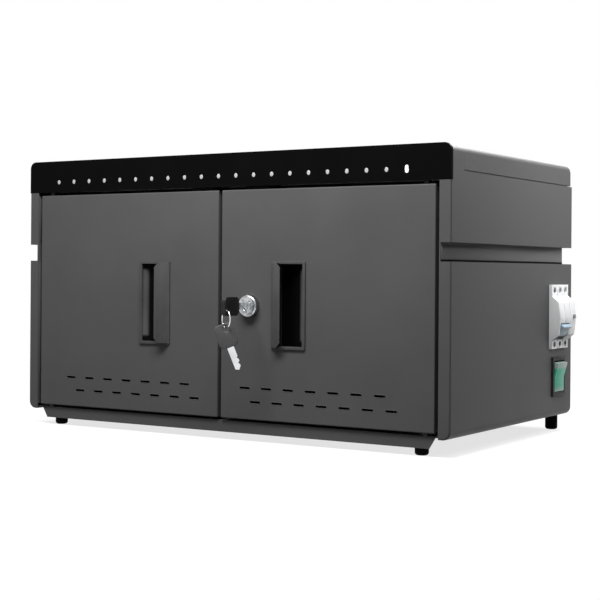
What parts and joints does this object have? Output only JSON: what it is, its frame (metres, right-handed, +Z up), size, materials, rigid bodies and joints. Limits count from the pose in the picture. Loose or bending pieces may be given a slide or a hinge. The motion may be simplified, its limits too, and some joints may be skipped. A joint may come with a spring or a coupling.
{
  "type": "desktop charging cabinet",
  "caption": "Sheet steel desktop cabinet with two lockable vented doors, a gloss lamp fascia, upright bays with charging ports, rear fans, side grooves, a breaker and a mains rocker.",
  "frame": {"origin": "on the floor, in the middle of the sheet metal body's footprint", "axes": "+X to the right when facing the doors, +Y from the doors to the rear panel, +Z up"},
  "size_m": [0.6386, 0.4169, 0.346],
  "materials": {
    "graphite_paint": "fine satin powder coat",
    "galvanised_sheet": "bare zinc",
    "fascia_black": "polished",
    "lamp_white": "frosted, lit",
    "moulded_black": "fine texture",
    "rubber_black": "matt",
    "lock_chrome": "polished",
    "plain_steel": "zinc plated",
    "black_steel": "black oxide",
    "breaker_white": "satin",
    "breaker_blue": "satin",
    "rocker_green": "translucent, lit",
    "board_green": "solder resist",
    "divider_grey": "fine texture",
    "bow_grey": "satin",
    "foam_grey": "closed-cell foam",
    "supply_aluminium": "satin"
  },
  "bodies": {
    "cabinet": {"base_pan": "graphite_paint", "left_side_panel": "graphite_paint", "right_side_panel": "graphite_paint", "top_cover": "graphite_paint", "rear_panel": "graphite_paint", "inlet_plate": "graphite_paint", "front_header": "graphite_paint", "led_fascia": "fascia_black", "led_lenses": "lamp_white", "power_lamp": "lamp_white", "led_board": "board_green", "charger_deck": "galvanised_sheet", "charging_ports": "plain_steel", "charger_board": "board_green", "board_standoffs": "plain_steel", "power_supplies": "supply_aluminium", "bay_mat": "foam_grey", "bay_dividers": "divider_grey", "wiring_duct_cover": "galvanised_sheet", "feet": "rubber_black", "foot_screws": "plain_steel", "left_hinge_pins": "black_steel", "right_hinge_pins": "black_steel", "magnetic_catches": "moulded_black", "breaker_body": "breaker_white", "breaker_rail": "galvanised_sheet", "switch_bezel": "moulded_black", "power_inlet": "moulded_black", "fan_frames": "moulded_black", "fan_guards": "plain_steel", "fan_screws": "plain_steel", "top_cover_screws": "plain_steel", "rear_panel_screws": "plain_steel"},
    "left_door": {"left_door_panel": "graphite_paint", "left_handle_cup": "moulded_black", "left_hinge_bushes": "moulded_black", "left_bolt_guides": "moulded_black"},
    "bottom_bolt": {"bottom_bolt": "plain_steel"},
    "top_bolt": {"top_bolt": "plain_steel"},
    "right_door": {"right_door_panel": "graphite_paint", "right_handle_cup": "moulded_black", "right_hinge_bushes": "moulded_black", "lock_housing": "lock_chrome", "lock_nut": "plain_steel"},
    "lock": {"lock_plug": "lock_chrome", "lock_cam": "plain_steel", "cam_screw": "plain_steel"},
    "key": {"key_blade": "lock_chrome", "key_bow": "moulded_black"},
    "key_ring": {"key_ring": "lock_chrome"},
    "spare_key": {"spare_key_blade": "lock_chrome", "spare_key_bow": "bow_grey"},
    "breaker_toggle": {"breaker_toggle": "breaker_blue"},
    "breaker_test_button": {"breaker_test_button": "divider_grey"},
    "switch_rocker": {"switch_rocker": "rocker_green"},
    "left_fan_rotor": {"left_fan_rotor": "moulded_black"},
    "right_fan_rotor": {"right_fan_rotor": "moulded_black"}
  },
  "joints": [
    {"name": "left_door_hinge", "type": "hinge", "parent": "cabinet", "child": "left_door", "pos_m": [-0.2765, -0.169, 0.16375], "axis": [0, 0, -1], "range_deg": [0, 110]},
    {"name": "right_door_hinge", "type": "hinge", "parent": "cabinet", "child": "right_door", "pos_m": [0.2765, -0.169, 0.16375], "axis": [0, 0, 1], "range_deg": [0, 110]},
    {"name": "bottom_bolt_slide", "type": "slide", "parent": "left_door", "child": "bottom_bolt", "axis": [0, 0, -1], "range_m": [0, 0.01]},
    {"name": "top_bolt_slide", "type": "slide", "parent": "left_door", "child": "top_bolt", "axis": [0, 0, 1], "range_m": [0, 0.01]},
    {"name": "lock_turn", "type": "hinge", "parent": "right_door", "child": "lock", "pos_m": [0.045, -0.17, 0.16225], "axis": [0, 1, 0], "range_deg": [0, 90]},
    {"name": "key_slide", "type": "slide", "parent": "lock", "child": "key", "axis": [0, -1, 0], "range_m": [0, 0.02]},
    {"name": "key_ring_swing", "type": "hinge", "parent": "key", "child": "key_ring", "pos_m": [0.045, -0.226, 0.158], "axis": [0.8862, -0.4633, 0], "range_deg": [-15, 15]},
    {"name": "spare_key_swing", "type": "hinge", "parent": "key_ring", "child": "spare_key", "pos_m": [0.045, -0.226, 0.1376], "axis": [0.8862, -0.4633, 0], "range_deg": [-10, 10]},
    {"name": "breaker_toggle_throw", "type": "hinge", "parent": "cabinet", "child": "breaker_toggle", "pos_m": [0.3165, 0.121, 0.13], "axis": [0, 1, 0], "range_deg": [0, 70]},
    {"name": "breaker_test_press", "type": "slide", "parent": "cabinet", "child": "breaker_test_button", "axis": [-1, 0, 0], "range_m": [0, 0.0012], "stiffness_N_per_m": 300},
    {"name": "switch_rock", "type": "hinge", "parent": "cabinet", "child": "switch_rocker", "pos_m": [0.308, 0.133, 0.072], "axis": [0, -1, 0], "range_deg": [0, 16]},
    {"name": "left_fan_spin", "type": "hinge", "parent": "cabinet", "child": "left_fan_rotor", "pos_m": [-0.13, 0.164, 0.14], "axis": [0, 1, 0], "continuous": true},
    {"name": "right_fan_spin", "type": "hinge", "parent": "cabinet", "child": "right_fan_rotor", "pos_m": [0.13, 0.164, 0.14], "axis": [0, 1, 0], "continuous": true}
  ]
}
